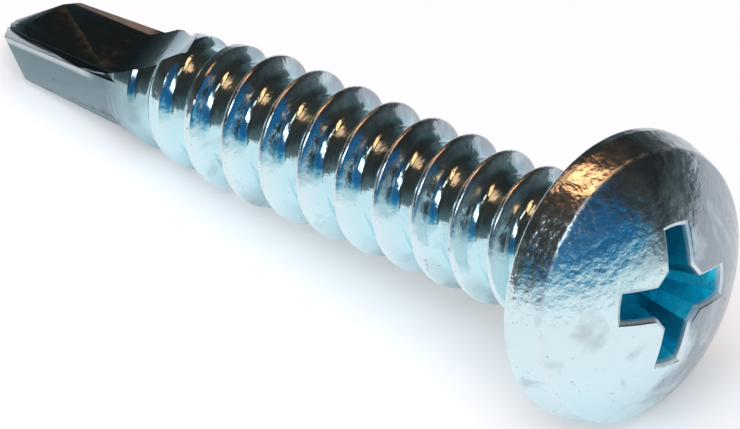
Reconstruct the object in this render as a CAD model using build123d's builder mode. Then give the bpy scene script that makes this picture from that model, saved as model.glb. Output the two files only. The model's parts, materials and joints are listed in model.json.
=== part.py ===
from build123d import *
import os
from math import radians, tan

# Self-drilling screw ST4.8 x 25 in zinc-plated carbon steel, forged and rolled from one blank: a pan head
# with a cross recess no. 2, a coarse right-hand thread up to the head and a pinched drill point with two
# straight flutes. Millimetres and degrees.
#
# It is drawn upright: the bearing face under the head at Z = 0, the crown below it and the drill point at
# the top. At the end it is laid on its side, as it comes to rest, with the upright +X side uppermost.

# ---------------------------------------------------------------- driving dimensions
LENGTH = 25.3            # bearing face to the tip of the point

HEAD_D = 9.15
HEAD_H = 3.05            # bearing face to the top of the crown
SIDE_H = 1.0             # upright side of the head, bearing face to shoulder
CROWN_R = 6.0            # radius of the domed crown
CROWN_SPREAD = 43.5      # where the dome ends, as an angle at its centre
SHOULDER_R = 0.3         # rolls the side over into the crown
RIM_R = 0.12             # breaks the bearing face's outer edge
NECK_D = 3.35            # core of the neck, just inside the thread's root
NECK_R = 0.75            # fillet that spreads it to the bearing face, wider than the thread

RECESS_M = 4.85          # across opposite wing ends level with the crown's top, 4.4 at the mouth
RECESS_G = 2.7           # across opposite wing ends where they meet the bottom cone
RECESS_TAPER = 26.5      # wing ends to the axis
RECESS_RISE = 28.0       # slope of the bottom cone
RECESS_FLAT = 0.3        # across the blunt bottom
WING_W = 1.0             # wing width level with the crown's top
WING_DRAFT = 5.75        # wing sides to the axis
HEART_W = 2.2            # heart between the wings, across its flats just above the crown
HEART_DRAFT = 12.0
WING_TURN = 15.3         # turn of the cross from the uppermost side
RECESS_OFF = (0.18, 0.02)  # the punch struck this far off the head's axis

THREAD_D = 4.62
ROOT_D = 3.45
PITCH = 1.6
FLANK = 30.0             # each flank to a plane across the axis
CREST_W = 0.14
ROOT_EASE = 0.13         # height at which the flank eases into the root
EASE_SPREAD = 0.2        # how far the ease spreads beyond the flank
THREAD_START = -0.065    # height of turn 0's crest on the uppermost side
FIRST_TURN = -1          # inside the head
LAST_TURN = 14           # inside the drill point
TAPER_FROM = 14.4        # full thread ends
TAPER_TO = 19.6          # thread has faded into the shank

DRILL_D = 3.68           # across the lip corners
HEEL_D = 2.81            # across the heel corners at the tip
HEEL_ROOT_D = 3.37       # the same at the blade's root
WEB = 0.60               # metal left between the flutes
WALL_END = 1.17          # half length of the web's flat walls
LIP_TURN = 47.3          # lip corner, measured from the flutes' flat walls
HEEL_TURN = -9.1         # heel corner
BOTTOM_AT = 0.38         # flute bottom, along the flat wall from the axis
FLUTE_R = 0.15           # radius in the bottom of a flute
BLADE_ROOT = 18.4        # the blade starts to grow out of the shank
BLADE_ROOT_SHARE = 0.9   # how far its lip corners reach there, as a share of the thread's root radius
BLADE_FULL = 19.4        # the blade has its full section
RUNOUT_FROM = 20.85      # flutes start to climb out
RUNOUT_R = 4.7           # radius of their climb
RUNOUT_SWEEP = 60        # angle of their climb, long enough to leave the shank
LIP_SETBACK = 1.46       # tip to lip corner, along the axis
HEEL_SETBACK = 1.7       # tip to heel corner, along the axis
CHISEL_OVER = 0.2        # how far the flanks would meet past the blunt tip
GASH_AT = 24.5           # height where the gash that thins the web leaves the flat wall, beside the axis
GASH_LEAN = 2.7          # how steeply the gash rises across the web
GASH_SLOPES = (0.51, -0.82)  # its fall along the wall, outward and inward from there
BLADE_TURN = 71.0        # turn of the flutes' flat walls from the uppermost side
BLADE_OFF = (-0.059, -0.054)  # the pinched blade stands this far off the thread's axis

REST_TILT = 8.5          # lying down, the axis drops this much towards the point

# ---------------------------------------------------------------- sizes that follow
HEAD_RAD = HEAD_D / 2
THREAD_RAD = THREAD_D / 2
ROOT_RAD = ROOT_D / 2
OVER = 0.4               # overlap of solids that are joined, and the reach of cutters past a face


def polar(diameter, angle):
    """Point of a cross-section from the diameter it lies on and its angle."""
    return Vector(diameter / 2, 0).rotate(Axis.Z, angle)


# ---------------------------------------------------------------- head
with BuildPart() as head:
    crown_centre = Vector(0, CROWN_R - HEAD_H)
    crown_end = crown_centre + Vector(0, -CROWN_R).rotate(Axis.Z, CROWN_SPREAD)
    neck_top = NECK_R + OVER
    with BuildSketch(Plane.XZ) as head_half:
        with BuildLine():
            Polyline((0, neck_top), (NECK_D / 2, neck_top), (NECK_D / 2, 0), (HEAD_RAD, 0))
            Polyline((HEAD_RAD, 0), (HEAD_RAD, -SIDE_H), crown_end)
            RadiusArc(crown_end, (0, -HEAD_H), CROWN_R)
            Line((0, -HEAD_H), (0, neck_top))
        make_face()
        fillet(head_half.vertices().sort_by_distance((HEAD_RAD, -SIDE_H))[0], SHOULDER_R)
        fillet(head_half.vertices().sort_by_distance((NECK_D / 2, 0))[0], NECK_R)
    revolve(axis=Axis.Z)
    rim = head.faces().filter_by(Plane.XY).sort_by(Axis.Z)[0].outer_wire().edges()
    fillet(rim, RIM_R)

# ---------------------------------------------------------------- recess: four wings around a square heart
crown_z = -HEAD_H
cone_z = crown_z + (RECESS_M - RECESS_G) / 2 / tan(radians(RECESS_TAPER))
bottom_z = cone_z + (RECESS_G - RECESS_FLAT) / 2 * tan(radians(RECESS_RISE))
mouth_r = RECESS_M / 2 + OVER * tan(radians(RECESS_TAPER))

with BuildPart() as recess:
    with BuildSketch(Plane.XY.offset(crown_z - OVER)):
        mouth_w = WING_W + 2 * OVER * tan(radians(WING_DRAFT))
        Rectangle(2 * mouth_r, mouth_w, rotation=WING_TURN)
        Rectangle(mouth_w, 2 * mouth_r, rotation=WING_TURN)
    extrude(amount=bottom_z - crown_z + OVER, taper=WING_DRAFT)
    with BuildSketch(Plane.XY.offset(crown_z - OVER)):
        Rectangle(HEART_W, HEART_W, rotation=WING_TURN + 45)
    extrude(amount=bottom_z - crown_z + OVER, taper=HEART_DRAFT)
    with BuildSketch(Plane.XZ):
        bottom = [(RECESS_G / 2, cone_z), (RECESS_FLAT / 2, bottom_z), (0, bottom_z)]
        Polygon((0, crown_z - OVER), (mouth_r, crown_z - OVER), *bottom, align=None)
    revolve(axis=Axis.Z, mode=Mode.INTERSECT)

# ---------------------------------------------------------------- threaded shank
# One turn of the thread is a row of strips that climb side by side: the crest, a flank on each side of
# it, the ease at each flank's foot and the root. Each strip is ruled between two helices.
half_root = CREST_W / 2 + (THREAD_RAD - ROOT_RAD) * tan(radians(FLANK))
half_ease = half_root - ROOT_EASE * tan(radians(FLANK))
half_foot = half_root + EASE_SPREAD
# Places on the thread's section, each a radius and a height above the middle of the crest.
foot = (ROOT_RAD, -half_foot)
profile = [foot, (ROOT_RAD + ROOT_EASE, -half_ease), (THREAD_RAD, -CREST_W / 2)]
profile += [(radius, -rise) for radius, rise in reversed(profile)] + [(ROOT_RAD, PITCH - half_foot)]


def climb_of(radius, height):
    """Helix of one turn that starts on the uppermost side at this height."""
    return Helix(PITCH, PITCH, radius, center=(0, 0, height)).edge()


def end_of(turn):
    """The two faces that close the thread at the start of a turn: its section, and a slope below it."""
    crest_z = THREAD_START + turn * PITCH
    low, high = Vector(0, 0, crest_z - half_foot), Vector(0, 0, crest_z - half_foot + PITCH)
    section = Polyline(low, *[(radius, 0, crest_z + rise) for radius, rise in profile], high, close=True)
    slope = Face.make_surface_from_curves(Line(low, high).edge(), climb_of(ROOT_RAD, low.Z))
    return [Face(section.wire()), slope]


strips = []
for turn in range(FIRST_TURN, LAST_TURN):
    crest_z = THREAD_START + turn * PITCH
    helices = [climb_of(radius, crest_z + rise) for radius, rise in profile]
    strips += [Face.make_surface_from_curves(low, high) for low, high in zip(helices, helices[1:])]
endless = Solid(Shell(strips + end_of(FIRST_TURN) + end_of(LAST_TURN)))

fade = (THREAD_RAD - ROOT_RAD) / (TAPER_TO - TAPER_FROM)
inside_head = FIRST_TURN * 2 * PITCH
with BuildPart() as shank:
    with BuildSketch(Plane.XZ):
        Polygon(
            (0, inside_head),
            (THREAD_RAD + fade * (TAPER_FROM - inside_head), inside_head),
            (ROOT_RAD + fade * (TAPER_TO - BLADE_FULL), BLADE_FULL),
            (ROOT_RAD / 2, BLADE_FULL + ROOT_RAD),
            (0, BLADE_FULL + ROOT_RAD),
            align=None,
        )
    revolve(axis=Axis.Z)
    add(endless, mode=Mode.INTERSECT)

# ---------------------------------------------------------------- drill point: blade, flutes and flanks
# The section has the flutes' flat walls along X, and every corner has a twin half a turn away.
lip = polar(DRILL_D, LIP_TURN)
heel = polar(HEEL_D, HEEL_TURN)
heel_root = polar(HEEL_ROOT_D, HEEL_TURN)
wall_end = Vector(WALL_END, -WEB / 2)
flute_bottom = Vector(BOTTOM_AT, WEB / 2)
rake = (lip - flute_bottom).normalized()


def blade_section(height, heel_corner, scale=1.0):
    """The blade's outline before its flutes are pressed in."""
    half = [lip * scale, heel_corner * scale, wall_end * scale]
    with BuildSketch(Plane.XY.offset(height)) as section:
        Polygon(*half, *[corner * -1 for corner in half], align=None)
    return section.sketch


def flank_plane(side):
    """Plane of one flank, through its lip corner, its heel corner and the tip; side is 1 or -1."""
    top = Vector(0, 0, LENGTH + CHISEL_OVER)
    to_lip = lip * side + Vector(0, 0, LENGTH - LIP_SETBACK) - top
    to_heel = heel * side + Vector(0, 0, LENGTH - HEEL_SETBACK) - top
    return Plane(origin=top, z_dir=to_heel.cross(to_lip))


with BuildPart() as gash:
    for slope in GASH_SLOPES:
        lean = Vector(-slope, GASH_LEAN, 1)
        with BuildSketch(Plane(origin=(0, WEB / 2, GASH_AT), z_dir=lean)):
            Rectangle(DRILL_D * 2, DRILL_D * 2)
        extrude(amount=DRILL_D)
    beside = Vector(0, 0, 1).cross(rake)
    split(bisect_by=Plane(origin=flute_bottom, z_dir=beside), keep=Keep.TOP)

with BuildPart() as blade:
    sections = [
        blade_section(BLADE_ROOT, heel_root, BLADE_ROOT_SHARE * ROOT_RAD / lip.length),
        blade_section(BLADE_FULL, heel_root),
        blade_section(LENGTH, heel),
    ]
    loft(sections, ruled=True)
    for side in (1, -1):
        split(bisect_by=flank_plane(side), keep=Keep.BOTTOM)
    with PolarLocations(0, 2):
        add(gash.part, mode=Mode.SUBTRACT)

with BuildPart() as flute:
    outward = (rake + Vector(-1, 0)).normalized()
    climb = Plane(origin=flute_bottom, x_dir=outward, z_dir=outward.cross(Vector(0, 0, 1)))
    with BuildLine(climb) as route:
        down = Line((0, LENGTH + OVER), (0, RUNOUT_FROM))
        JernArc(down @ 1, down % 1, RUNOUT_R, RUNOUT_SWEEP)
    with BuildSketch(Plane.XY.offset(LENGTH + OVER)) as notch:
        Polygon(flute_bottom, flute_bottom + rake * THREAD_D, flute_bottom - Vector(THREAD_D, 0), align=None)
        fillet(notch.vertices().sort_by_distance((flute_bottom.X, flute_bottom.Y, LENGTH + OVER))[0], FLUTE_R)
    sweep(path=route.wire())

# ---------------------------------------------------------------- screw
with BuildPart() as upright:
    add(shank.part)
    with Locations(BLADE_OFF):
        add(blade.part, rotation=(0, 0, BLADE_TURN))
        with PolarLocations(0, 2, start_angle=BLADE_TURN):
            add(flute.part, mode=Mode.SUBTRACT)
    add(head.part)
    with Locations(RECESS_OFF):
        add(recess.part, mode=Mode.SUBTRACT)

# ---------------------------------------------------------------- lying at rest
with BuildPart() as screw:
    add(upright.part, rotation=(0, -90 - REST_TILT, 0))
box = screw.part.bounding_box()
middle = box.center()
screw.part = screw.part.moved(Location((-middle.X, -middle.Y, -box.min.Z)))
screw.part.label = "screw"
os.makedirs("parts", exist_ok=True)
export_step(screw.part, "parts/screw.step")
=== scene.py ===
"""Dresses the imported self-drilling screw: forged head, rolled thread, pinched point, bright zinc plate."""

import json
import math

import bmesh
import bpy
from mathutils import Matrix, Vector


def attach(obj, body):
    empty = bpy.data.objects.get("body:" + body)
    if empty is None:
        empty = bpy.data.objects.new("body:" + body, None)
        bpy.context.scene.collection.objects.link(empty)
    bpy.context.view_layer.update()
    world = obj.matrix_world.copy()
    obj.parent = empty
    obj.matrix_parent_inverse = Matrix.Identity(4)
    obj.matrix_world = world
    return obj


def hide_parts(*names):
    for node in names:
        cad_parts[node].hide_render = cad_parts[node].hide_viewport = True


bl_info = {
    "name": "Self-drilling screw",
    "version": (1, 0, 0),
    "blender": (4, 5, 0),
    "location": "3D View > Sidebar > Screw",
    "description": "Builds a zinc-plated self-drilling screw over its packed solid, and a small studio",
    "category": "Object",
}

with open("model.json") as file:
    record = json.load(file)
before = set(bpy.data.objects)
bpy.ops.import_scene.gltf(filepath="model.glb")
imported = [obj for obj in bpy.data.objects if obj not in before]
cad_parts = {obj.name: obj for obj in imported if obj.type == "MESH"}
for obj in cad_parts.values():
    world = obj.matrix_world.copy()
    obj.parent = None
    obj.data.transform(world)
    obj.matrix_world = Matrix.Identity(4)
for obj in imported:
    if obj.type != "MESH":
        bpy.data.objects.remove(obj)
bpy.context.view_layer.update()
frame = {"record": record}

# ---------------------------------------------------------------- sizes in millimetres, angles in degrees
MM = 0.001

HEAD_R, HEAD_H, HEAD_STEPS = 4.575, 3.05, 192
CROWN_R, CROWN_EASE, OUTER_R, CROWN_SPREAD = 6.0, 33.0, 9.0, 41.3
RING_R, SHOULDER_SLOPE, SHOULDER_R, RIM_R = 0.12, 74.0, 0.3, 0.12
NECK_CORE, NECK_R, NECK_TOP = 1.675, 0.75, 1.15

RECESS_M, RECESS_G, RECESS_TAPER, RECESS_RISE = 4.85, 2.7, 26.5, 28.0
WING_W, WING_DRAFT, HEART_W, HEART_DRAFT = 1.0, 5.75, 2.2, 12.0
WING_TURN, RECESS_OFF, RECESS_TIP_R = 15.3, Vector((0.18, 0.02)), 0.2
ROLL_LIFT, ROLL_SPREAD = 0.28, 1.15      # shares of the roll: how far it starts above the crown, how wide

THREAD_R, ROOT_R, PITCH = 2.31, 1.725, 1.6
CREST_HALF, FLANK, FOOT_HALF = 0.07, 30.0, 0.608
THREAD_START, FIRST_TURN, LAST_TURN = -0.065, -1, 14
TAPER_FROM, TAPER_TO, TAPER_SOFT = 14.4, 19.6, 0.05

LENGTH, BLADE_ROOT, BLADE_FULL, BLADE_ROOT_SHARE = 25.3, 18.4, 19.4, 0.9
DRILL_D, HEEL_D, HEEL_ROOT_D = 3.68, 2.81, 3.37
WEB, WALL_END, LIP_TURN, HEEL_TURN, BOTTOM_AT = 0.6, 1.17, 47.3, -9.1, 0.38
FLUTE_R, RUNOUT_FROM, RUNOUT_R, RUNOUT_SWEEP = 0.15, 20.85, 4.7, 60.0
LIP_SETBACK, HEEL_SETBACK, CHISEL_OVER = 1.46, 1.7, 0.2
GASH_AT, GASH_LEAN, GASH_SLOPES = 24.5, 2.7, (0.51, -0.82)
BLADE_TURN, BLADE_OFF, FLUTE_RIM = 71.0, Vector((-0.059, -0.054)), 1.1
OVER = 0.4                               # cutters reach this far past a face
WELD, SHARP = 0.0004, 30.0               # vertices closer than this merge; steeper edges than this stay sharp

# The bearing face's centre and the screw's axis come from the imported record. Upright, x is the side that
# lies uppermost, and z runs from the bearing face to the point.
bearing = next(mount for mount in frame["record"]["mounts"] if mount["name"] == "bearing_face")
ALONG = Vector(bearing["axis"]).normalized()
UPPERMOST = Vector((ALONG.z, 0.0, -ALONG.x))
SIDE = ALONG.cross(UPPERMOST)
CENTRE = Vector((bearing["pos_m"][0], 0.0, bearing["pos_m"][2]))
TURN_DOWN = Matrix((UPPERMOST, SIDE, ALONG)).transposed().to_4x4()
PLACE = Matrix.Translation(CENTRE) @ TURN_DOWN @ Matrix.Scale(MM, 4)


def linear(code):
    """sRGB hex colour to linear RGBA."""
    parts = [int(code[at:at + 2], 16) / 255 for at in (0, 2, 4)]
    return tuple(c / 12.92 if c <= 0.04045 else ((c + 0.055) / 1.055) ** 2.4 for c in parts) + (1.0,)


def tan(degrees):
    return math.tan(math.radians(degrees))


# ---------------------------------------------------------------- what a user would change
class ScrewForm(bpy.types.PropertyGroup):
    mouth_roll: bpy.props.FloatProperty(
        name="Mouth roll", description="How far the punch rolls the edge of the recess over",
        default=0.00013, min=0.00002, max=0.0002, subtype="DISTANCE", unit="LENGTH")
    edge_round: bpy.props.FloatProperty(
        name="Point edge", description="Rounding of the drill point's pinched edges",
        default=0.00007, min=0.00001, max=0.0001, subtype="DISTANCE", unit="LENGTH")
    turn_steps: bpy.props.IntProperty(
        name="Steps in a turn", description="Stations of the thread's mesh in one turn",
        default=96, min=32, max=144)


class ScrewFinish(bpy.types.PropertyGroup):
    plate: bpy.props.FloatVectorProperty(
        name="Zinc plate", description="Main colour of the bright zinc", size=4,
        default=linear("D4EAEE"), min=0.0, max=1.0, subtype="COLOR")
    # greyer tone: clouds of thin passivate, and a painted shade that greys one side
    straw_and_shade: bpy.props.FloatVectorProperty(
        name="Thin passivate", description="Greyer tone where the passivate is thin", size=4,
        default=linear("98A3AC"), min=0.0, max=1.0, subtype="COLOR")
    pooled: bpy.props.FloatVectorProperty(
        name="Pooled passivate", description="Blue-green tone in the recess, where it pools", size=4,
        default=linear("50D8EA"), min=0.0, max=1.0, subtype="COLOR")
    # brighter tone: wear on the crests, and a painted highlight on the head's ring and the recess's lips
    wear_and_highlight: bpy.props.FloatVectorProperty(
        name="Worn edges", description="Brighter tone of rubbed crests and edges", size=4,
        default=linear("E2ECF0"), min=0.0, max=1.0, subtype="COLOR")
    # the drill point's darker tone is painted shade, and it also dims the lamps' reflections in the flutes
    point: bpy.props.FloatVectorProperty(
        name="Drill point", description="Duller tone of the pinched point", size=4,
        default=linear("6E858C"), min=0.0, max=1.0, subtype="COLOR")
    grime: bpy.props.FloatVectorProperty(
        name="Grime", description="Dark deposit in the pits", size=4,
        default=linear("3C3A3C"), min=0.0, max=1.0, subtype="COLOR")
    roughness: bpy.props.FloatProperty(
        name="Roughness", description="Roughness of the bright plate", default=0.13, min=0.02, max=0.6,
        subtype="FACTOR")
    peel: bpy.props.FloatProperty(
        name="Unevenness", description="Height of the plate's fine waves", default=0.000006, min=0.0,
        max=0.00003, subtype="DISTANCE", unit="LENGTH")


class ScrewStage(bpy.types.PropertyGroup):
    light: bpy.props.FloatProperty(
        name="Light", description="Scales all the lamps", default=1.0, min=0.0, max=4.0, subtype="FACTOR")
    paper: bpy.props.FloatVectorProperty(
        name="Paper", description="Colour of the floor", size=4, default=linear("D6D8D9"), min=0.0, max=1.0,
        subtype="COLOR")


# ---------------------------------------------------------------- mesh helpers
def mesh_object(name, vertices, faces):
    mesh = bpy.data.meshes.new(name)
    mesh.from_pydata([tuple(vertex) for vertex in vertices], [], faces)
    piece = bpy.data.objects.new(name, mesh)
    bpy.context.scene.collection.objects.link(piece)
    weld(piece, 1e-7)
    return piece


def weld(piece, reach):
    """Merges vertices closer than reach and turns all faces outward."""
    edit = bmesh.new()
    edit.from_mesh(piece.data)
    bmesh.ops.remove_doubles(edit, verts=edit.verts, dist=reach)
    bmesh.ops.dissolve_degenerate(edit, edges=edit.edges, dist=reach / 10)
    bmesh.ops.recalc_face_normals(edit, faces=edit.faces)
    edit.to_mesh(piece.data)
    edit.free()


def apply_modifiers(piece):
    bpy.context.view_layer.update()
    depsgraph = bpy.context.evaluated_depsgraph_get()
    done = bpy.data.meshes.new_from_object(piece.evaluated_get(depsgraph))
    piece.modifiers.clear()
    piece.data = done


def combine(base, tool, operation):
    """Joins tool to base or cuts it away, and deletes tool."""
    step = base.modifiers.new("combine", "BOOLEAN")
    step.operation, step.object, step.solver = operation, tool, "EXACT"
    apply_modifiers(base)
    if not base.data.polygons:
        raise RuntimeError(f"{operation} of {tool.name} left nothing of {base.name}")
    bpy.data.objects.remove(tool)


def skin(name, rings):
    """Closed piece over a row of closed outlines with the same number of points."""
    count = len(rings[0])
    last = count * (len(rings) - 1)
    faces = [tuple(range(count)), tuple(range(last, last + count))]
    for ring in range(0, last, count):
        for index in range(count):
            after = (index + 1) % count
            faces.append((ring + index, ring + after, ring + count + after, ring + count + index))
    return mesh_object(name, [vertex for ring in rings for vertex in ring], faces)


def arc(centre, radius, start, end, steps):
    """Points of an arc in a half section, as (radius, height); angles run from the outward direction."""
    turns = [math.radians(start + (end - start) * step / steps) for step in range(steps + 1)]
    return [(centre[0] + radius * math.cos(turn), centre[1] + radius * math.sin(turn)) for turn in turns]


def spread(start, end, steps):
    """Points between two points, without the ends."""
    return [tuple(Vector(start).lerp(Vector(end), step / steps)) for step in range(1, steps)]


# ---------------------------------------------------------------- head: forged pan, turned half section
def crown_section():
    """The crown from its top to the die's ring; it flattens towards the ring."""
    centre_z = CROWN_R - HEAD_H
    turn = math.radians(CROWN_EASE - 90)
    far = Vector((0, centre_z)) + Vector((math.cos(turn), math.sin(turn))) * (CROWN_R - OUTER_R)
    return (arc((0, centre_z), CROWN_R, -90, CROWN_EASE - 90, 26)
            + arc(far, OUTER_R, CROWN_EASE - 90, CROWN_SPREAD - 90, 10)[1:])


RING = Vector(crown_section()[-1])


def build_head():
    """The turned head: under the ring, only just rounded, a steeper shoulder eases into the side."""
    foot = Vector((HEAD_R, RING.y + (HEAD_R - RING.x) * tan(SHOULDER_SLOPE)))
    reach = SHOULDER_R * tan((90 - SHOULDER_SLOPE) / 2)
    shoulder = arc((HEAD_R - SHOULDER_R, foot.y + reach), SHOULDER_R, SHOULDER_SLOPE - 90, 0, 12)
    rim = arc((HEAD_R - RIM_R, -RIM_R), RIM_R, 0, 90, 6)
    neck = arc((NECK_CORE + NECK_R, NECK_R), NECK_R, 270, 180, 16)
    back = RING_R * tan((SHOULDER_SLOPE - CROWN_SPREAD) / 2)
    down = Vector((math.cos(math.radians(SHOULDER_SLOPE)), math.sin(math.radians(SHOULDER_SLOPE))))
    start = RING + down * back
    ring = arc(start + Vector((-down.y, down.x)) * RING_R, RING_R, CROWN_SPREAD - 90, SHOULDER_SLOPE - 90, 5)
    dome = [point for point in crown_section() if (Vector(point) - RING).length >= back * 1.3]
    brink = [tuple(start.lerp(Vector(shoulder[0]), share)) for share in (0.1, 0.4, 0.7)]
    section = dome + ring + brink + shoulder + spread(shoulder[-1], rim[0], 4) + rim
    section += spread(rim[-1], neck[0], 5) + neck + [(NECK_CORE, NECK_TOP)]
    turns = [math.tau * step / HEAD_STEPS for step in range(HEAD_STEPS)]
    return skin("head", [[(radius * math.cos(turn), radius * math.sin(turn), height) for turn in turns]
                         for radius, height in section[1:]])


def crown_depth(point):
    """How far the crown lies below its top at a point of the recess, also where the flare is far out."""
    out = min((point + RECESS_OFF).length, 3.8)
    return CROWN_R - math.sqrt(CROWN_R ** 2 - out ** 2)


def cross_outline(depth, grown):
    """The recess's cross at a depth below the crown's top, grown sideways."""
    half = WING_W / 2 - depth * tan(WING_DRAFT) + grown
    reach = RECESS_M / 2 - depth * tan(RECESS_TAPER) + grown
    flat = HEART_W / 2 - (depth + OVER) * tan(HEART_DRAFT) + grown
    inner = max(flat * math.sqrt(2) - half, half)
    end = [(math.sqrt(reach ** 2 - across ** 2), across) for across in (-half, -half / 2, 0, half / 2, half)]
    quarter = end + spread(end[-1], (inner, half), 8) + [(inner, half)]
    quarter += spread((inner, half), (half, inner), 4)
    quarter += [(half, inner)] + spread((half, inner), (half, end[-1][0]), 8)
    outline = []
    for turn in range(4):
        spin = Matrix.Rotation(math.radians(WING_TURN + 90 * turn), 2)
        outline += [spin @ Vector(point) for point in quarter]
    return outline


def build_recess(roll):
    """Cutter of the recess: its cross flares out at the crown, so that the mouth's edge is rolled over."""
    cone_top = (RECESS_M - RECESS_G) / 2 / tan(RECESS_TAPER)
    flares = [(-0.5, 0.62), (-0.16, 0.16)]
    for step in range(7):
        turn = math.radians(90 * step / 6)
        flares.append((roll * (math.sin(turn) - ROLL_LIFT), roll * (1 - math.sin(turn)) * ROLL_SPREAD))
    rings = []
    for below, grown in flares:
        ring = []
        for index in range(len(cross_outline(0, 0))):
            depth = below
            for _ in range(4):
                point = cross_outline(depth, grown)[index]
                depth = below + crown_depth(point)
            ring.append(Vector((*point, depth)))
        rings.append(ring)
    for share in (0.25, 0.5, 0.75, 1.0):
        ring = []
        for index, mouth in enumerate(rings[len(flares) - 1]):
            depth = mouth.z
            for _ in range(6):
                point = cross_outline(depth, 0)[index]
                floor = cone_top + (RECESS_G / 2 - point.length) * tan(RECESS_RISE)
                depth = mouth.z + (floor - mouth.z) * share
            ring.append(Vector((*point, depth)))
        rings.append(ring)
    heart = sum(rings[-1], Vector()) / len(rings[-1])
    rings.append([heart + (point - heart) * 0.5 for point in rings[-1]])
    tip = cone_top + (RECESS_G / 2 - RECESS_TIP_R) * tan(RECESS_RISE)
    for point in rings[-1]:
        point.z = min(tip, cone_top + (RECESS_G / 2 - point.xy.length) * tan(RECESS_RISE))
    shift = Vector((*RECESS_OFF, -HEAD_H))
    return skin("recess", [[point + shift for point in ring] for ring in rings])


# ---------------------------------------------------------------- shank: one grid wound along the thread
def thread_section():
    """Half of the thread's section, from the middle of the crest to the middle of the root."""
    slope = 1 / tan(FLANK)
    crest = [(0.0, THREAD_R), (0.035, THREAD_R - 0.002), (0.062, THREAD_R - 0.013), (0.085, THREAD_R - 0.038)]
    flank = [(along, THREAD_R - (along - CREST_HALF) * slope) for along in (0.11, 0.16, 0.22, 0.28)]
    start, end = Vector(flank[-1]), Vector((FOOT_HALF, ROOT_R))
    corner = Vector((CREST_HALF + (THREAD_R - ROOT_R) / slope, ROOT_R))
    shares = [step / 7 for step in range(1, 8)]
    ease = [tuple(start.lerp(corner, share).lerp(corner.lerp(end, share), share)) for share in shares]
    return crest + flank + ease + [(PITCH / 2, ROOT_R)]


def softer_min(first, second, reach):
    """The smaller value, eased where the two come closer than reach."""
    overlap = max(reach - abs(first - second), 0) / reach
    return min(first, second) - overlap ** 2 * reach / 4


def build_shank(steps):
    """The core and its thread, faded towards the point and then drawn in under the blade."""
    half = thread_section()
    section = [(-along, radius) for along, radius in reversed(half)] + half[1:]
    fade = (THREAD_R - ROOT_R) / (TAPER_TO - TAPER_FROM)
    columns = len(section) - 1
    stations = (LAST_TURN - FIRST_TURN) * steps
    vertices = []
    for station in range(stations + 1):
        angle = math.tau * station / steps
        for along, radius in section[:columns] if station <= stations - steps else section:
            height = THREAD_START + (FIRST_TURN + station / steps) * PITCH + along
            radius = softer_min(radius, THREAD_R - fade * (height - TAPER_FROM), TAPER_SOFT)
            radius = min(radius, ROOT_R - (height - BLADE_FULL) / 2) if height > BLADE_FULL else radius
            vertices.append((radius * math.cos(angle), radius * math.sin(angle), height))
    joined = stations - steps + 1

    def at(station, column):
        """Vertex of the grid; a turn's last column is the next turn's first."""
        if column == columns and station < joined:
            station, column = station + steps, 0
        return station * columns + column + max(station - joined, 0)

    faces = []
    for station in range(stations):
        for column in range(columns):
            faces.append((at(station, column), at(station + 1, column),
                          at(station + 1, column + 1), at(station, column + 1)))
    low = [at(station, 0) for station in range(steps)] + [at(0, column) for column in range(columns, 0, -1)]
    high = [at(station, columns) for station in range(stations - steps, stations)]
    high += [at(stations, column) for column in range(columns, 0, -1)]
    for loop, turn in ((low, FIRST_TURN), (high, LAST_TURN)):
        vertices.append((0, 0, THREAD_START + turn * PITCH))
        faces += [(here, after, len(vertices) - 1) for here, after in zip(loop, loop[1:] + loop[:1])]
    return mesh_object("shank", vertices, faces)


# ---------------------------------------------------------------- drill point
def polar(diameter, angle):
    return Vector((math.cos(math.radians(angle)), math.sin(math.radians(angle)))) * diameter / 2


LIP, HEEL, HEEL_ROOT = polar(DRILL_D, LIP_TURN), polar(HEEL_D, HEEL_TURN), polar(HEEL_ROOT_D, HEEL_TURN)
WALL, BOTTOM = Vector((WALL_END, -WEB / 2)), Vector((BOTTOM_AT, WEB / 2))
RAKE = (LIP - BOTTOM).normalized()


def keep_below(piece, point, normal):
    """Cuts away what lies beyond a plane."""
    edit = bmesh.new()
    edit.from_mesh(piece.data)
    cut = bmesh.ops.bisect_plane(edit, geom=edit.verts[:] + edit.edges[:] + edit.faces[:], dist=1e-6,
                                 plane_co=point, plane_no=normal, clear_outer=True)["geom_cut"]
    bmesh.ops.edgenet_fill(edit, edges=[item for item in cut if isinstance(item, bmesh.types.BMEdge)])
    bmesh.ops.recalc_face_normals(edit, faces=edit.faces)
    edit.to_mesh(piece.data)
    edit.free()


def gash_cutter(slope, side):
    """Everything above one plane of the gash that thins the web, on the flute's side of the rake face."""
    beside = Vector((-RAKE.y, RAKE.x))
    low, high = [], []
    for along, out in ((0, -2), (0, 2), (3, 2), (3, -2)):
        corner = BOTTOM + RAKE * out + beside * (along - 0.001)
        height = GASH_AT + slope * corner.x - GASH_LEAN * (corner.y - WEB / 2)
        low.append(Vector((*(corner * side), height)))
        high.append(Vector((*(corner * side), height + 12)))
    return skin("gash", [low, high])


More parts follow.
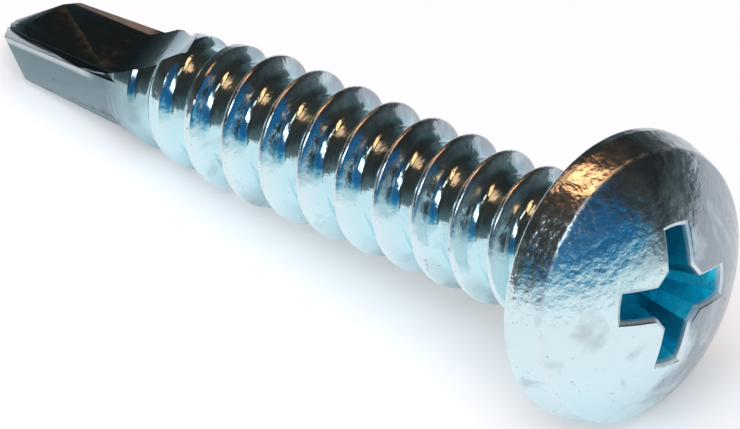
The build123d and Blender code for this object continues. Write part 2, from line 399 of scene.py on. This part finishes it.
def build_blade(edge_round):
    """The pinched blade: a hexagon drawn out of the shank, ground off by two flanks and two gashes."""
    share = BLADE_ROOT_SHARE * ROOT_R / LIP.length
    rings = []
    for height, heel, size in ((BLADE_ROOT, HEEL_ROOT, share), (BLADE_FULL, HEEL_ROOT, 1), (LENGTH, HEEL, 1)):
        half = [LIP * size, heel * size, WALL * size]
        rings.append([Vector((*corner, height)) for corner in half + [-corner for corner in half]])
    blade = skin("blade", rings)
    top = Vector((0, 0, LENGTH + CHISEL_OVER))
    for side in (1, -1):
        to_lip = Vector((*(LIP * side), LENGTH - LIP_SETBACK)) - top
        to_heel = Vector((*(HEEL * side), LENGTH - HEEL_SETBACK)) - top
        keep_below(blade, top, to_heel.cross(to_lip))
    for side in (1, -1):
        for slope in GASH_SLOPES:
            combine(blade, gash_cutter(slope, side), "DIFFERENCE")
    weld(blade, 0.002)
    soften = blade.modifiers.new("soften", "BEVEL")
    soften.width, soften.segments, soften.limit_method, soften.angle_limit = edge_round, 2, "ANGLE", 0.4
    apply_modifiers(blade)
    return blade


def build_flute(side):
    """Cutter of a pressed flute: a notch that runs straight down the blade and climbs out on an arc."""
    outward = (RAKE + Vector((-1, 0))).normalized()
    across = Vector((-outward.y, outward.x))
    half_angle = RAKE.angle(Vector((-1, 0))) / 2
    middle = BOTTOM + outward * (FLUTE_R / math.sin(half_angle))
    touch = FLUTE_R / math.tan(half_angle)
    ends = [BOTTOM + RAKE * touch - middle, BOTTOM - Vector((touch, 0)) - middle]
    start, end = [math.atan2(way.y, way.x) for way in ends]
    turn = (end - start + math.pi) % math.tau - math.pi
    bottom = arc(middle, FLUTE_R, math.degrees(start), math.degrees(start + turn), 8)
    notch = [BOTTOM + RAKE * DRILL_D * 1.25] + [Vector(point) for point in bottom]
    notch.append(BOTTOM - Vector((DRILL_D * 1.25, 0)))
    rings = []
    for step in range(-1, 37):
        bend = math.radians(RUNOUT_SWEEP) * max(step, 0) / 36
        level = LENGTH + OVER if step < 0 else RUNOUT_FROM
        ring = []
        for point in notch:
            out, aside = (point - BOTTOM).dot(outward), (point - BOTTOM).dot(across)
            lifted = RUNOUT_R * (1 - math.cos(bend)) + out * math.cos(bend)
            flat = BOTTOM + outward * lifted + across * aside
            ring.append(Vector((*(flat * side), level + (out - RUNOUT_R) * math.sin(bend))))
        rings.append(ring)
    return skin("flute", rings)


def build_screw(form):
    """Joins the parts of the screw, cuts its flutes and recess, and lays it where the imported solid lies."""
    screw = build_shank(form.turn_steps)
    blade_place = Matrix.Translation((*BLADE_OFF, 0)) @ Matrix.Rotation(math.radians(BLADE_TURN), 4, "Z")
    blade = build_blade(form.edge_round / MM)
    blade.data.transform(blade_place)
    combine(screw, blade, "UNION")
    for side in (1, -1):
        flute = build_flute(side)
        flute.data.transform(blade_place)
        combine(screw, flute, "DIFFERENCE")
    combine(screw, build_head(), "UNION")
    combine(screw, build_recess(form.mouth_roll / MM), "DIFFERENCE")
    weld(screw, WELD)
    screw.data.transform(PLACE)
    screw.data.polygons.foreach_set("use_smooth", [True] * len(screw.data.polygons))
    screw.data.set_sharp_from_angle(angle=math.radians(SHARP))
    return screw


# ---------------------------------------------------------------- material
NOISES = [
    # cells per mm, detail, roughness, distortion
    (0.7, 3.0, 0.55, 0.4),       # clouds of passivate, 1.5 mm across
    (3.4, 2.0, 0.5, 0.0),        # waves left by forging and plating, 0.3 mm; real ones run down to 0.05 mm
    (2.6, 3.0, 0.7, 0.0),        # nicks from the barrel: where these 0.4 mm cells and the
    (5.5, 2.0, 0.6, 0.0),        # next ones of 0.2 mm are both high; real ones of 0.02 mm wouldn't show
]
RAMPS = {
    # start, end and the share at each: mm along the screw
    "on_head": (0.6, -0.2, 0.0, 1.0),
    # on the point, the darker tone is painted shade
    "on_point": (TAPER_TO - 2.2, TAPER_TO, 0.0, 1.0),
    "on_blade": (TAPER_TO + 0.4, TAPER_TO + 0.9, 0.0, 0.8),
    # mm aside: a painted shade greys one side, and the head's waves are higher on the other
    "lean": (-2.0, 3.6, -0.04, 0.56),
    "beaten": (-2.5, 1.0, 3.8, 1.4),
    "flute_rim": (FLUTE_RIM, FLUTE_RIM + 0.06, 0.0, 1.0),
    # mm out from the axis
    "root": (2.15, ROOT_R, 0.0, 0.22),
    "crest": (THREAD_R - 0.05, THREAD_R - 0.01, 0.0, 1.0),
    "corner": (DRILL_D / 2 - 0.13, DRILL_D / 2 - 0.05, 0.0, 1.0),
    # mm from the head's ring, and from the centre of the crown's arc
    "ring": (0.1, 0.03, 0.0, 1.0),
    "sunk": (CROWN_R - 0.05, CROWN_R - 0.3, 0.0, 1.0),
    "lip_top": (CROWN_R - 0.01, CROWN_R - 0.04, 0.0, 1.0),
    "lip_foot": (CROWN_R - 0.26, CROWN_R - 0.16, 0.0, 1.0),
    # levels of noise
    "rubbed": (0.36, 0.62, 0.0, 0.85),
    "thin": (0.54, 0.86, 0.0, 1.0),
    "pit": (0.37, 0.47, 0.0, 0.42),
}
MOUTH_R, HEADSIDE = 2.7, -0.1            # the recess lies nearer the axis, and farther into the head
LAND_FACING, RIM_QUARTER = 0.7, 0.7      # lands face aside more; on the rims, over times aside is more
SHANK_WAVE, POINT_WAVE = 2.2, -1.9       # height of the waves, and what the point takes off it
PIT_DEPTH, PIT_SHARE = 0.012, 0.6
TIMES, MOST, DOT = {"operation": "MULTIPLY"}, {"operation": "MAXIMUM"}, {"operation": "DOT_PRODUCT"}
LESS, PLUS_SHARE = {"operation": "LESS_THAN"}, {"operation": "MULTIPLY_ADD"}


def add(tree, kind, settings=None, inputs=None):
    """Adds a node with its settings; each input is a value, or a socket to link."""
    node = tree.nodes.new(kind)
    for name, value in (settings or {}).items():
        setattr(node, name, value)
    for name, value in (inputs or {}).items():
        if isinstance(value, bpy.types.NodeSocket):
            tree.links.new(value, node.inputs[name])
        else:
            node.inputs[name].default_value = value
    return node


def zinc_plate(finish):
    """Low-carbon steel, forged and rolled, then barrel-plated with bright zinc and blue passivate: a cool
    mirror, softened by fine waves and pits from the barrel, and greener where the passivate pools."""
    material = bpy.data.materials.new("bright_zinc_plate")
    material.use_nodes = True
    tree = material.node_tree
    tree.nodes.clear()

    # Millimetres along the screw's own axes: over to its uppermost side, aside, and along it from the head.
    place = add(tree, "ShaderNodeTexCoord")
    from_head = add(tree, "ShaderNodeVectorMath", {"operation": "SUBTRACT"},
                    {0: place.outputs["Object"], 1: CENTRE}).outputs[0]
    over, aside, along = [
        add(tree, "ShaderNodeVectorMath", DOT, {0: from_head, 1: way / MM}).outputs["Value"]
        for way in (UPPERMOST, SIDE, ALONG)]
    local = add(tree, "ShaderNodeCombineXYZ", None, {"X": over, "Y": aside, "Z": along}).outputs[0]
    flat = add(tree, "ShaderNodeCombineXYZ", None, {"X": over, "Y": aside}).outputs[0]
    radius = add(tree, "ShaderNodeVectorMath", {"operation": "LENGTH"}, {0: flat}).outputs["Value"]
    outline = add(tree, "ShaderNodeCombineXYZ", None, {"X": radius, "Y": along}).outputs[0]
    to_ring, to_crown = [
        add(tree, "ShaderNodeVectorMath", {"operation": "DISTANCE"}, {0: point, 1: target}).outputs["Value"]
        for point, target in ((outline, (*RING, 0)), (local, (0, 0, CROWN_R - HEAD_H)))]
    lateral = add(tree, "ShaderNodeMath", {"operation": "ABSOLUTE"}, {0: aside}).outputs[0]
    cloud, wave, large, small = [
        add(tree, "ShaderNodeTexNoise", None, {"Vector": local, "Scale": scale, "Detail": detail,
                                               "Roughness": rough, "Distortion": twist}).outputs["Fac"]
        for scale, detail, rough, twist in NOISES]
    both = add(tree, "ShaderNodeMath", TIMES, {0: small, 1: large}).outputs[0]

    share = {}
    for name, value in (("on_head", along), ("on_point", along), ("on_blade", along), ("lean", aside),
                        ("beaten", aside), ("flute_rim", lateral), ("root", radius), ("crest", radius),
                        ("corner", radius), ("ring", to_ring), ("sunk", to_crown), ("lip_top", to_crown),
                        ("lip_foot", to_crown), ("rubbed", large), ("thin", cloud), ("pit", both)):
        if name == "thin":               # the painted shade on one side adds to the clouds of thin passivate
            value = add(tree, "ShaderNodeMath", {"operation": "ADD"}, {0: share["lean"], 1: value}).outputs[0]
        start, end, low, high = RAMPS[name]
        share[name] = add(tree, "ShaderNodeMapRange",
                          {"interpolation_type": "SMOOTHSTEP" if name == "pit" else "LINEAR"},
                          {"Value": value, "From Min": start, "From Max": end,
                           "To Min": low, "To Max": high}).outputs["Result"]
    on_head, pit = share["on_head"], share["pit"]
    off_head = add(tree, "ShaderNodeMath", {"operation": "SUBTRACT"}, {0: 1.0, 1: on_head}).outputs[0]
    for name in ("root", "crest"):
        share[name] = add(tree, "ShaderNodeMath", TIMES, {0: share[name], 1: off_head}).outputs[0]

    # The recess lies inside the crown's arc, near the axis. The passivate pools there, and its rolled lips
    # get a
    # brighter tone: a painted highlight.
    near = add(tree, "ShaderNodeMath", LESS, {0: radius, 1: MOUTH_R}).outputs[0]
    headside = add(tree, "ShaderNodeMath", LESS, {0: along, 1: HEADSIDE}).outputs[0]
    pocket = add(tree, "ShaderNodeMath", TIMES, {0: near, 1: headside}).outputs[0]
    pooled = add(tree, "ShaderNodeMath", TIMES, {0: share["sunk"], 1: pocket}).outputs[0]
    lip = add(tree, "ShaderNodeMath", TIMES, {0: share["lip_top"], 1: share["lip_foot"]}).outputs[0]
    lip = add(tree, "ShaderNodeMath", TIMES, {0: lip, 1: pocket}).outputs[0]

    # The blade's corners and the flutes' far rims, 0.15 mm wide, get a rough, pale tone. The lands face
    # aside, and the flutes' walls don't.
    facing = add(tree, "ShaderNodeVectorMath", DOT, {0: place.outputs["Normal"], 1: SIDE}).outputs["Value"]
    facing = add(tree, "ShaderNodeMath", {"operation": "ABSOLUTE"}, {0: facing}).outputs[0]
    off_land = add(tree, "ShaderNodeMath", LESS, {0: facing, 1: LAND_FACING}).outputs[0]
    quarter = add(tree, "ShaderNodeMath", TIMES, {0: over, 1: aside}).outputs[0]
    quarter = add(tree, "ShaderNodeMath", LESS, {0: RIM_QUARTER, 1: quarter}).outputs[0]
    margin = share["flute_rim"]
    for mask, operation in ((off_land, TIMES), (quarter, TIMES), (share["corner"], MOST),
                            (share["on_blade"], TIMES)):
        margin = add(tree, "ShaderNodeMath", operation, {0: margin, 1: mask}).outputs[0]

    # Handling in bulk rubs the crests, 0.05 mm wide, brighter and matt in places. The head's ring and the
    # recess's lips get the same brighter, matt tone as a painted highlight, and the blade's pale rims join
    # in.
    wear_and_highlight = share["ring"]
    for mask, operation in ((share["crest"], MOST), (share["rubbed"], TIMES), (lip, MOST), (margin, MOST)):
        wear_and_highlight = add(tree, "ShaderNodeMath", operation, {0: wear_and_highlight, 1: mask}).outputs[0]

    # Of these tones, the greyer side, the darker point and the brighter ring and lips are painted shade and
    # painted highlights; clouds, pooled passivate, worn crests and pits are the plate's own.
    colour = finish.plate
    for mask, tone in ((share["thin"], finish.straw_and_shade), (share["root"], finish.pooled),
                       (share["on_point"], finish.point), (pooled, finish.pooled), (wear_and_highlight, finish.wear_and_highlight),
                       (pit, finish.grime)):
        colour = add(tree, "ShaderNodeMix", {"data_type": "RGBA"}, {0: mask, 6: colour, 7: tone}).outputs[2]
    rough = add(tree, "ShaderNodeMapRange", None,
                {"Value": wave, "From Min": 0.3, "From Max": 0.7,
                 "To Min": finish.roughness * 0.75, "To Max": finish.roughness * 1.5}).outputs["Result"]
    for mask, gain in ((pit, 0.3), (pooled, 0.1), (wear_and_highlight, 0.3), (margin, 0.25), (on_head, 0.06)):
        rough = add(tree, "ShaderNodeMath", PLUS_SHARE, {0: mask, 1: gain, 2: rough}).outputs[0]

    # The forged head keeps higher waves than the rolled thread, and the pressed point lower ones.
    height = SHANK_WAVE
    for mask, gain in ((on_head, share["beaten"]), (share["on_point"], POINT_WAVE)):
        height = add(tree, "ShaderNodeMath", PLUS_SHARE, {0: mask, 1: gain, 2: height}).outputs[0]
    height = add(tree, "ShaderNodeMath", TIMES, {0: height, 1: wave}).outputs[0]
    peel = add(tree, "ShaderNodeBump", None, {"Distance": finish.peel, "Height": height}).outputs[0]
    dent = add(tree, "ShaderNodeBump", {"invert": True},
               {"Strength": PIT_SHARE, "Distance": PIT_DEPTH * MM, "Height": pit, "Normal": peel}).outputs[0]
    shader = add(tree, "ShaderNodeBsdfPrincipled", None,
                 {"Base Color": colour, "Metallic": 1.0, "Roughness": rough, "Normal": dent})
    add(tree, "ShaderNodeOutputMaterial", None, {"Surface": shader.outputs[0]})
    return material


# ---------------------------------------------------------------- stage
LAMPS = [
    # name, shape, azimuth, elevation, width and height in degrees, radiance, colour, seen by metal
    ("key_softbox", "RECTANGLE", 36, 54, 44, 14, 3.6, "F4F9FF", True),
    ("warm_side", "ELLIPSE", 261, 48, 22, 11, 1.3, "FFB488", True),
    ("warm_top", "ELLIPSE", 215, 74, 44, 16, 2.6, "FFB07A", True),
    ("zenith", "ELLIPSE", 60, 82, 14, 14, 1.6, "FFF4EA", True),
    ("fill", "RECTANGLE", 20, 72, 70, 60, 1.8, "EEF6FF", False),
]
LAMP_REACH, FLOOR_HALF = 0.6, 3.0        # metres
PAPER_GLOW = 0.4
# Colours up the studio's two walls, as (elevation in degrees, colour), and where the front one fades out, as
# the cosine of the angle from its middle.
FRONT_AZIMUTH = 54
FRONT_WALL = [(0, "F0F4F6"), (7, "DCEAF0"), (12, "A0C8D8"), (18, "3C8CB4"), (24, "1A6898"), (32, "164A74"),
              (42, "142C46"), (52, "1A1E28"), (90, "2A211C")]
BACK_WALL = [(0, "727A7C"), (12, "5C6466"), (24, "3A3B3A"), (38, "26221E"), (60, "221C18"), (90, "3A2C24")]
FRONT_SHARE = (0.34, 0.5)
# The camera looks back along CAMERA_WAY, 38 degrees down, from 600 mm before the middle of the screw.
CAMERA_WAY, CAMERA_FAR, LENS = Vector((0.5437, -0.5705, 0.6154)).normalized(), 600, 976.4
CAMERA_AT, CAMERA_ASIDE, CAMERA_UP = Vector((10.908, 0, 4.4993)), -7.0875, 1.7186


def toward(azimuth, elevation):
    """Direction from the screw; azimuth turns from the front, -Y, towards +X."""
    turn, rise = math.radians(azimuth), math.radians(elevation)
    return Vector((math.sin(turn) * math.cos(rise), -math.cos(turn) * math.cos(rise), math.sin(rise)))


def studio_world():
    """Walls of the studio: pale low in front, blue above that, and dim behind and overhead."""
    world = bpy.data.worlds.new("studio")
    world.use_nodes = True
    tree = world.node_tree
    tree.nodes.clear()
    direction = add(tree, "ShaderNodeTexCoord").outputs["Generated"]
    height = add(tree, "ShaderNodeSeparateXYZ", None, {0: direction}).outputs["Z"]
    walls = []
    for stops in (FRONT_WALL, BACK_WALL):
        ramp = add(tree, "ShaderNodeValToRGB", None, {"Fac": height})
        ramp.color_ramp.elements.remove(ramp.color_ramp.elements[1])
        for index, (elevation, code) in enumerate(stops):
            stop = ramp.color_ramp.elements.new(0.5) if index else ramp.color_ramp.elements[0]
            stop.position, stop.color = math.sin(math.radians(elevation)), linear(code)
        walls.append(ramp.outputs["Color"])
    front = toward(FRONT_AZIMUTH, 0)
    ahead = add(tree, "ShaderNodeVectorMath", DOT, {0: direction, 1: front}).outputs["Value"]
    share = add(tree, "ShaderNodeMapRange", {"interpolation_type": "SMOOTHSTEP"},
                {"Value": ahead, "From Min": FRONT_SHARE[0], "From Max": FRONT_SHARE[1]}).outputs["Result"]
    wall = add(tree, "ShaderNodeMix", {"data_type": "RGBA"}, {0: share, 6: walls[1], 7: walls[0]}).outputs[2]
    back = add(tree, "ShaderNodeBackground", None, {"Color": wall})
    add(tree, "ShaderNodeOutputWorld", None, {"Surface": back.outputs[0]})
    return world


def white_paper(colour):
    """Matt paper sweep; it also glows a little to the eye and in reflections, so that it stays white."""
    material = bpy.data.materials.new("matt_paper")
    material.use_nodes = True
    tree = material.node_tree
    tree.nodes.clear()
    path = add(tree, "ShaderNodeLightPath")
    seen = path.outputs["Is Camera Ray"]
    for ray in ("Is Glossy Ray", "Is Transmission Ray"):
        seen = add(tree, "ShaderNodeMath", MOST, {0: seen, 1: path.outputs[ray]}).outputs[0]
    glow = add(tree, "ShaderNodeMath", TIMES, {0: seen, 1: PAPER_GLOW}).outputs[0]
    diffuse = add(tree, "ShaderNodeBsdfDiffuse", None, {"Color": colour})
    light = add(tree, "ShaderNodeEmission", None, {"Strength": glow})
    total = add(tree, "ShaderNodeAddShader", None, {0: diffuse.outputs[0], 1: light.outputs[0]})
    add(tree, "ShaderNodeOutputMaterial", None, {"Surface": total.outputs[0]})
    return material


def build_stage(stage):
    """Paper floor, walls, lamps and a long lens."""
    scene = bpy.context.scene
    scene.view_settings.view_transform = "Standard"
    scene.world = studio_world()
    corners = [(x * FLOOR_HALF, y * FLOOR_HALF, 0) for x, y in ((-1, -1), (1, -1), (1, 1), (-1, 1))]
    floor = mesh_object("floor", corners, [(0, 1, 2, 3)])
    floor.data.materials.append(white_paper(stage.paper))
    for name, shape, azimuth, elevation, wide, high, radiance, code, mirrored in LAMPS:
        data = bpy.data.lights.new(name, "AREA")
        data.shape = shape
        data.size, data.size_y = 2 * LAMP_REACH * tan(wide / 2), 2 * LAMP_REACH * tan(high / 2)
        data.energy = radiance * stage.light * math.pi * data.size * data.size_y
        data.color = linear(code)[:3]
        lamp = bpy.data.objects.new(name, data)
        lamp.visible_glossy = mirrored
        lamp.location = toward(azimuth, elevation) * LAMP_REACH
        lamp.rotation_euler = toward(azimuth, elevation).to_track_quat("Z", "Y").to_euler()
        scene.collection.objects.link(lamp)
    right = Vector((0, 0, 1)).cross(CAMERA_WAY).normalized()
    up = CAMERA_WAY.cross(right)
    data = bpy.data.cameras.new("camera")
    data.sensor_width, data.lens, data.clip_end = 36.0, LENS, 5.0
    camera = bpy.data.objects.new("camera", data)
    camera.location = (CAMERA_AT + CAMERA_WAY * CAMERA_FAR + right * CAMERA_ASIDE + up * CAMERA_UP) * MM
    camera.rotation_euler = Matrix((right, up, CAMERA_WAY)).transposed().to_euler()
    scene.collection.objects.link(camera)
    scene.camera = camera


# ---------------------------------------------------------------- add-on
class SCREW_OT_build(bpy.types.Operator):
    """Build the screw's visible mesh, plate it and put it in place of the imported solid"""
    bl_idname = "screw.build"
    bl_label = "Screw"

    def execute(self, context):
        screw = build_screw(context.scene.screw_form)
        screw.name = "plated_screw"
        screw.data.materials.clear()
        screw.data.materials.append(zinc_plate(context.scene.screw_finish))
        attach(screw, "root")
        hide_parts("screw")
        return {"FINISHED"}


class SCREW_OT_stage(bpy.types.Operator):
    """Build the paper floor, the studio's walls and lamps, and the camera"""
    bl_idname = "screw.stage"
    bl_label = "Stage"

    def execute(self, context):
        build_stage(context.scene.screw_stage)
        return {"FINISHED"}


class SCREW_PT_panel(bpy.types.Panel):
    bl_label = "Self-drilling screw"
    bl_space_type = "VIEW_3D"
    bl_region_type = "UI"
    bl_category = "Screw"

    def draw(self, context):
        for group in (context.scene.screw_form, context.scene.screw_finish, context.scene.screw_stage):
            box = self.layout.box()
            for name in group.__annotations__:
                box.prop(group, name)
        self.layout.operator(SCREW_OT_build.bl_idname)
        self.layout.operator(SCREW_OT_stage.bl_idname)


CLASSES = (ScrewForm, ScrewFinish, ScrewStage, SCREW_OT_build, SCREW_OT_stage, SCREW_PT_panel)


def register():
    for item in CLASSES:
        bpy.utils.register_class(item)
    bpy.types.Scene.screw_form = bpy.props.PointerProperty(type=ScrewForm)
    bpy.types.Scene.screw_finish = bpy.props.PointerProperty(type=ScrewFinish)
    bpy.types.Scene.screw_stage = bpy.props.PointerProperty(type=ScrewStage)


def unregister():
    for name in ("screw_form", "screw_finish", "screw_stage"):
        delattr(bpy.types.Scene, name)
    for item in reversed(CLASSES):
        bpy.utils.unregister_class(item)


def main():
    register()
    bpy.ops.screw.build()
    bpy.ops.screw.stage()


if __name__ == "__main__":
    main()
